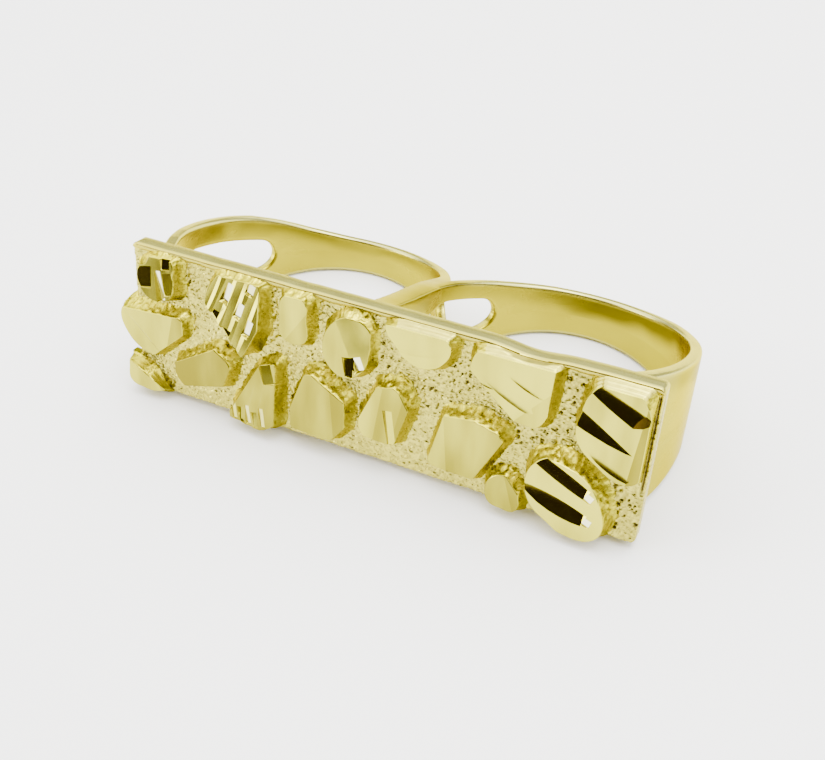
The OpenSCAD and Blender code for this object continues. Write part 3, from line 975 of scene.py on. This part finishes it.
class OBJECT_OT_ring_bands(bpy.types.Operator):
    """Builds the two bands: pierced at the shoulders, tapering to the back, with softened edges"""

    bl_idname = "object.ring_bands"
    bl_label = "Bands"

    # places across a band's softened edge, as shares of its radius, and points between the two edges
    edge_steps, across = (0.0, 0.06, 0.25, 0.55, 1.0), 16
    # spacing of a band's columns along its straight walls, and round its back in degrees
    spacing, turn_spacing = 0.25, 2
    # how far the feet are sunk into the plate, and how far the right band starts inside the wall between the fingers
    sunk, overlap = 0.4, 0.6
    # share of its thickness that the right band has inside that wall, and how far behind it the band is whole again
    thinned, thinned_run = 0.86, 2.4
    # highest place of the middle opening's upper edge over its middle, and how much less the wall's edges are rounded
    middle_opening, middle_round = 2.28, 0.45
    # how strong the painted deep shade is on the lower halves, along the right band (at its left end, and how much more
    # at the right) and along the left band (on average, and how much that varies)
    low_streak, right_deep, right_deeper, left_deep, left_cloud = 0.12, 0.25, 0.75, 0.45, 0.4

    def opening(self, d, y):
        """Half height of a shoulder opening at a distance behind the plate's face."""
        front_y, front_r = d.front_y + d.front_r * sin(d.turn), d.front_r * cos(d.turn)
        rear_y, rear_r = d.rear_y + d.rear_r * sin(d.turn), d.rear_r * cos(d.turn)
        if y < front_y:
            return sqrt(max(0.0, d.front_r**2 - (y - d.front_y) ** 2))
        if y > rear_y:
            return sqrt(max(0.0, d.rear_r**2 - (y - d.rear_y) ** 2))
        return front_r + (rear_r - front_r) * (y - front_y) / (rear_y - front_y)

    def stops(self, d):
        """Distances behind the face at which the opening's round ends need a column."""
        turns = [radians(a) for a in range(0, 91, 6)]
        front = [d.front_y - d.front_r * cos(t) for t in turns]
        rear = [d.rear_y + d.rear_r * sin(t) for t in turns]
        beyond = [d.edge_round * s for s in (0.15, 0.4, 0.7, 1.0)]
        return front + rear + [min(front) - b for b in beyond] + [max(rear) + b for b in beyond]

    def stations(self, d, side, finger_w, depth, inner_end):
        """The band's middle surface from the outer foot round to the inner wall: place, outward way, half thickness."""
        outer_r = finger_w / 2 + d.side_wall
        arc_y = depth - outer_r
        inner_y = arc_y + d.side_wall - d.back_wall
        stops = self.stops(d)
        found = []
        # the outer wall, which draws in towards the plate along an arc
        foot = d.plate_t - self.sunk
        shoulder_r = ((arc_y - d.plate_t) ** 2 + d.draw_in**2) / (2 * d.draw_in)
        mid_r = shoulder_r - d.side_wall / 2
        for y in sorted({*np.arange(foot, arc_y, self.spacing), arc_y, *(s for s in stops if s < arc_y)}):
            away = sqrt(mid_r**2 - (y - arc_y) ** 2)
            x = side * (outer_r - shoulder_r + away)
            found.append((x, y, side * away / mid_r, (y - arc_y) / mid_r, d.side_wall / 2))
        # the round back
        middle_y, middle_r = (arc_y + inner_y) / 2, (outer_r + finger_w / 2) / 2
        bends = [asin((s - middle_y) / middle_r) for s in stops if s > middle_y + 0.01]
        whole = np.radians(np.arange(self.turn_spacing, 180, self.turn_spacing))
        for t in sorted({*whole, *bends, *(pi - b for b in bends)}):
            outer = Vector((side * outer_r * cos(t), arc_y + outer_r * sin(t)))
            inner = Vector((side * finger_w / 2 * cos(t), inner_y + finger_w / 2 * sin(t)))
            if side < 0:
                inner.x = min(inner.x, outer_r - d.middle_wall)
            out, middle = outer - inner, (outer + inner) / 2
            found.append((middle.x, middle.y, out.x / out.length, out.y / out.length, out.length / 2))
        # the straight inner wall
        wall = d.middle_wall if side < 0 else d.side_wall
        ends = {*np.arange(inner_end, arc_y, self.spacing), *(s for s in stops if inner_end < s < arc_y)}
        found += [(-side * (outer_r - wall / 2), y, -side, 0, wall / 2) for y in sorted(ends, reverse=True)]
        if inner_end > d.plate_t:
            # the right band starts inside the wall that the left band brings along
            for k, (x, y, nx, ny, half) in enumerate(found):
                if x * side <= 0:
                    whole = float(smooth(arc_y, arc_y + self.thinned_run, y))
                    found[k] = (x, y, nx, ny, half * (self.thinned + (1 - self.thinned) * whole))
        return found

    def away_from_opening(self, d, points):
        """Distance of (y, z) points from the opening's outline."""
        ends = d.front_y - d.front_r, d.rear_y + d.rear_r
        ys = np.unique(np.clip(np.round([*self.stops(d), *np.arange(d.front_y, d.rear_y, 0.4)], 5), *ends))
        line = np.array([(y, self.opening(d, y)) for y in ys])
        line = np.vstack([line, line[::-1] * (1, -1)])
        runs = np.roll(line, -1, 0) - line
        squares = np.maximum((runs**2).sum(1), 1e-9)
        best = np.full(len(points), 1e9)
        for start, run, square in zip(line, runs, squares):
            share = np.clip(((points - start) @ run) / square, 0, 1)
            best = np.minimum(best, np.hypot(*(points - start - share[:, None] * run).T))
        return best

    def columns(self, d, side, stations):
        """Every station with its upper edge, its opening's edge and the heights of its points."""
        widths = dict(zip(BAND_COLUMNS, np.array(BAND_WIDTHS).T))
        near = [d.edge_round * s for s in self.edge_steps]
        found = []
        for x, y, nx, ny, half in stations:
            pierced = x * side < 0 or side < 0
            high = float(np.interp(y, widths["y"], widths["half"]))
            low = self.opening(d, y) if pierced and d.front_y - d.front_r < y < d.rear_y + d.rear_r else 0.0
            lift = float(0.2 * smooth(-8, -3, x)) - 0.05
            if side < 0:
                lift = np.interp(y, widths["y"], widths["lift"]) * smooth(-4, -8, x)
                lift = float(lift - 0.3 * smooth(-7, -2, x) * smooth(9, 14, y))
            drop = max(0.0, low - self.middle_opening) if x * side < 0 else 0.0
            gap = high - low
            fit = min(1.0, gap / (2.6 * d.edge_round))
            soft = d.edge_round * fit
            between = np.linspace(low + soft, high - soft, self.across + 2)[1:-1]
            zs = [*(low + n * fit for n in near), *between, *(high - n * fit for n in reversed(near))]
            found.append({
                "x": x, "y": y, "nx": nx, "ny": ny, "half": half, "high": high, "low": low, "zs": zs,
                "lift": lift / gap, "drop": drop / gap, "pierced": pierced,
                # 1 on the wall between the fingers
                "middle": float(smooth(7, 9.5, -x * side)),
            })
        return found

    def tone(self, column, side, mirror, skin, edge, cloud):
        """How pale (partly wear, partly a painted sheen) and how deep (painted shade) the gold is at a distance from
        its upper edge.
        """
        dull, shade_streak = 0.0, self.low_streak
        if mirror > 0:
            # the top of the wall between the fingers is darker and less pale
            dull = float(column["middle"] * smooth(15.5, 12.5, column["y"]) * smooth(0.45, 0.15, edge))
            # painted shade in a band just under the upper edge
            shade_streak = float(smooth(0.15, 0.45, edge) * smooth(2.0, 0.7, edge + 0.8 * cloud))
        # outsides painted paler: partly wear, partly a painted sheen
        outside = 0.4 + 0.3 * cloud if skin > 0 else 0.0
        pale = max(float(smooth(0.34, 0.05, edge)), outside) * (1 - 0.75 * dull)
        share = self.left_deep + self.left_cloud * cloud
        if side > 0:
            share = float(self.right_deep + self.right_deeper * smooth(-7, 1, column["x"]))
        return pale, max(shade_streak * share + 0.12 * (0.5 + cloud), dull * (0.75 + 0.3 * cloud))

    def band_mesh(self, name, d, side, middle, finger_w, depth, inner_end):
        """Mesh of a band: its upper and lower halves, each with an outer and an inner skin, and the edges between."""
        table = self.columns(d, side, self.stations(d, side, finger_w, depth, inner_end))
        hole = self.away_from_opening(d, np.array([(column["y"], z) for column in table for z in column["zs"]]))
        count = len(table[0]["zs"])
        size = len(table) * count
        points, faces, tones = [], [], []
        for mirror in (1, -1):
            for skin in (1, -1):
                start = len(points)
                for i, column in enumerate(table):
                    x, y, high, low = (column[key] for key in ("x", "y", "high", "low"))
                    radius = min(d.edge_round, column["half"] - 0.02) * (1 - self.middle_round * column["middle"])
                    for j, z in enumerate(column["zs"]):
                        edge = (high - z) * cos(d.turn)
                        away = min(edge, hole[i * count + j]) if column["pierced"] else edge
                        t = (column["half"] - rounded(away, radius)) * skin
                        rise = column["lift"] * (z - low) - column["drop"] * (high - z) if mirror > 0 else 0
                        upright = d.mid_z + mirror * z + rise
                        points.append((middle + x + column["nx"] * t, y + column["ny"] * t, upright))
                        cloud = wobble(middle + x, y, z, 2.6, 50)
                        tones.append(self.tone(column, side, mirror, skin, edge, cloud))
                patch = grid_faces(len(table), count, start)
                faces += patch if mirror * skin * side > 0 else [f[::-1] for f in patch]
            # the edges between the two skins, left out where the upper and the lower half meet
            base = len(points) - 2 * size
            for i in range(len(table) - 1):
                whole = table[i]["low"] == 0 and table[i + 1]["low"] == 0
                for j in (count - 1,) if whole else (0, count - 1):
                    a = base + i * count + j
                    faces.append((a, a + size, a + count + size, a + count))
        mesh = bpy.data.meshes.new(name)
        mesh.from_pydata(points, [], faces)
        for attribute, values in zip(("pale", "deep"), zip(*tones)):
            paint(mesh, attribute, values)
        bm = bmesh.new()
        bm.from_mesh(mesh)
        bmesh.ops.remove_doubles(bm, verts=bm.verts[:], dist=0.0005)
        bmesh.ops.holes_fill(bm, edges=[e for e in bm.edges if e.is_boundary], sides=0)
        bmesh.ops.recalc_face_normals(bm, faces=bm.faces[:])
        for face in bm.faces:
            face.smooth = True
        bm.to_mesh(mesh)
        bm.free()
        return mesh

    def execute(self, context):
        d = Dims(context.scene.ring_sizes)
        gold = band_gold(context.scene.ring_colours)
        right_end = d.right_depth - d.right_finger_w / 2 - d.side_wall - self.overlap
        for name, side, middle, finger_w, depth, inner_end in (
            ("left_band", -1, d.left_x, d.left_finger_w, d.left_depth, d.plate_t - self.sunk),
            ("right_band", 1, d.right_x, d.right_finger_w, d.right_depth, right_end),
        ):
            make_piece(name, self.band_mesh(name, d, side, middle, finger_w, depth, inner_end), d, [gold])
        return {"FINISHED"}


# ---- Studio


class OBJECT_OT_ring_studio(bpy.types.Operator):
    """Makes the pale floor, the soft light, the room round the ring and the camera"""

    bl_idname = "object.ring_studio"
    bl_label = "Studio"

    # half the floor's width, and the overhead light's place and size, in metres
    floor_reach, overhead_place, overhead_size = 1.2, (0.05, 0.06, 0.32), 0.22
    # ways in which the room's dark front and its window lie
    front_way, window_way = (0, -0.9, 0.44), (-0.86, -0.48, 0.14)
    # camera in the ring's own frame, in millimetres: place, way it looks and way to its right
    eye = (30.13, -60.72, 33.69)
    look = (-0.3492, 0.7909, -0.5025)
    right = (0.8975, 0.4365, 0.0633)
    lens = 46.83

    def floor(self, colours):
        """A plain pale floor."""
        mesh = bpy.data.meshes.new("floor")
        corners = [(x * self.floor_reach, y * self.floor_reach, 0) for x, y in ((-1, -1), (1, -1), (1, 1), (-1, 1))]
        mesh.from_pydata(corners, [], [(0, 1, 2, 3)])
        floor = bpy.data.objects.new("floor", mesh)
        bpy.context.scene.collection.objects.link(floor)
        f = Finish(new_material("pale_floor"))
        tone = f.mix(f.spots(30).step(0.3, 0.7), toned(colours.floor, 0.99), colours.floor)
        shader = f.node("ShaderNodeBsdfPrincipled", None, {"Base Color": tone, "Roughness": 0.9})
        f.node("ShaderNodeOutputMaterial", None, {"Surface": shader})
        mesh.materials.append(f.owner)

    def towards(self, f, way, place):
        """How nearly a way into the room points to a place."""
        sockets = {0: way, 1: Vector(place).normalized()}
        return f.node("ShaderNodeVectorMath", {"operation": "DOT_PRODUCT"}, sockets, "Value")

    def room(self, studio):
        """A pale room that is dark in front of the ring, so that steep cut flanks reflect dark."""
        world = bpy.data.worlds.new("studio_room")
        bpy.context.scene.world = world
        f = Finish(world)
        way = f.node("ShaderNodeTexCoord", output="Generated")
        height = self.towards(f, way, (0, 0, 1))
        front = self.towards(f, way, self.front_way).step(0.60, 0.86) * (0.25 + 0.75 * height.step(-0.02, 0.2))
        window = self.towards(f, way, self.window_way).step(0.90, 0.96)
        bright = studio.low + height.step(0.2, 0.72) * (studio.sky - studio.low)
        bright = bright + window * (studio.window - bright)
        bright = bright + front * (studio.dark - bright)
        tint = f.mix(front.step(0.2, 0.9), (1, 1, 1), studio.warmth)
        shader = f.node("ShaderNodeBackground", None, {"Color": tint, "Strength": bright})
        f.node("ShaderNodeOutputWorld", None, {"Surface": shader})

    def overhead(self, studio):
        """One large soft light above, turned to the ring."""
        data = bpy.data.lights.new("overhead", "AREA")
        data.shape, data.size, data.energy = "DISK", self.overhead_size, studio.overhead
        light = bpy.data.objects.new("overhead", data)
        light.location = self.overhead_place
        light.rotation_euler = (-Vector(self.overhead_place)).to_track_quat("-Z", "Y").to_euler()
        bpy.context.scene.collection.objects.link(light)

    def camera(self, d):
        """The camera, placed in the ring's own frame."""
        matrix = d.matrix()
        turn = matrix.to_3x3().normalized()
        look, right = (turn @ Vector(self.look)).normalized(), (turn @ Vector(self.right)).normalized()
        up = right.cross(look).normalized()
        data = bpy.data.cameras.new("camera")
        data.lens, data.sensor_width, data.sensor_fit = self.lens, 36, "HORIZONTAL"
        data.clip_start, data.clip_end = 0.001, 10
        camera = bpy.data.objects.new("camera", data)
        bpy.context.scene.collection.objects.link(camera)
        place = Matrix((right, up, -look)).transposed().to_4x4()
        place.translation = matrix @ Vector(self.eye)
        camera.matrix_world = place
        bpy.context.scene.camera = camera

    def execute(self, context):
        studio = context.scene.ring_studio
        self.floor(context.scene.ring_colours)
        self.room(studio)
        self.overhead(studio)
        self.camera(Dims(context.scene.ring_sizes))
        return {"FINISHED"}


class VIEW3D_PT_nugget_ring(bpy.types.Panel):
    """Lists the ring's pieces, sizes, colours and light"""

    bl_label = "Nugget Ring"
    bl_idname = "VIEW3D_PT_nugget_ring"
    bl_space_type = "VIEW_3D"
    bl_region_type = "UI"
    bl_category = "Nugget Ring"

    def draw(self, context):
        for operator in OPERATORS:
            self.layout.operator(operator.bl_idname)
        for group in (context.scene.ring_sizes, context.scene.ring_colours, context.scene.ring_studio):
            for name in type(group).__annotations__:
                self.layout.prop(group, name)


OPERATORS = (OBJECT_OT_ring_plate, OBJECT_OT_ring_nuggets, OBJECT_OT_ring_bands, OBJECT_OT_ring_studio)
CLASSES = (RingSizes, RingColours, StudioSettings, *OPERATORS, VIEW3D_PT_nugget_ring)


def register():
    for cls in CLASSES:
        bpy.utils.register_class(cls)
    bpy.types.Scene.ring_sizes = bpy.props.PointerProperty(type=RingSizes)
    bpy.types.Scene.ring_colours = bpy.props.PointerProperty(type=RingColours)
    bpy.types.Scene.ring_studio = bpy.props.PointerProperty(type=StudioSettings)


def unregister():
    del bpy.types.Scene.ring_sizes, bpy.types.Scene.ring_colours, bpy.types.Scene.ring_studio
    for cls in reversed(CLASSES):
        bpy.utils.unregister_class(cls)


def main():
    """Registers the classes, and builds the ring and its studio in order."""
    register()
    bpy.ops.object.ring_plate()
    bpy.ops.object.ring_nuggets()
    bpy.ops.object.ring_bands()
    bpy.ops.object.ring_studio()


if __name__ == "__main__":
    main()
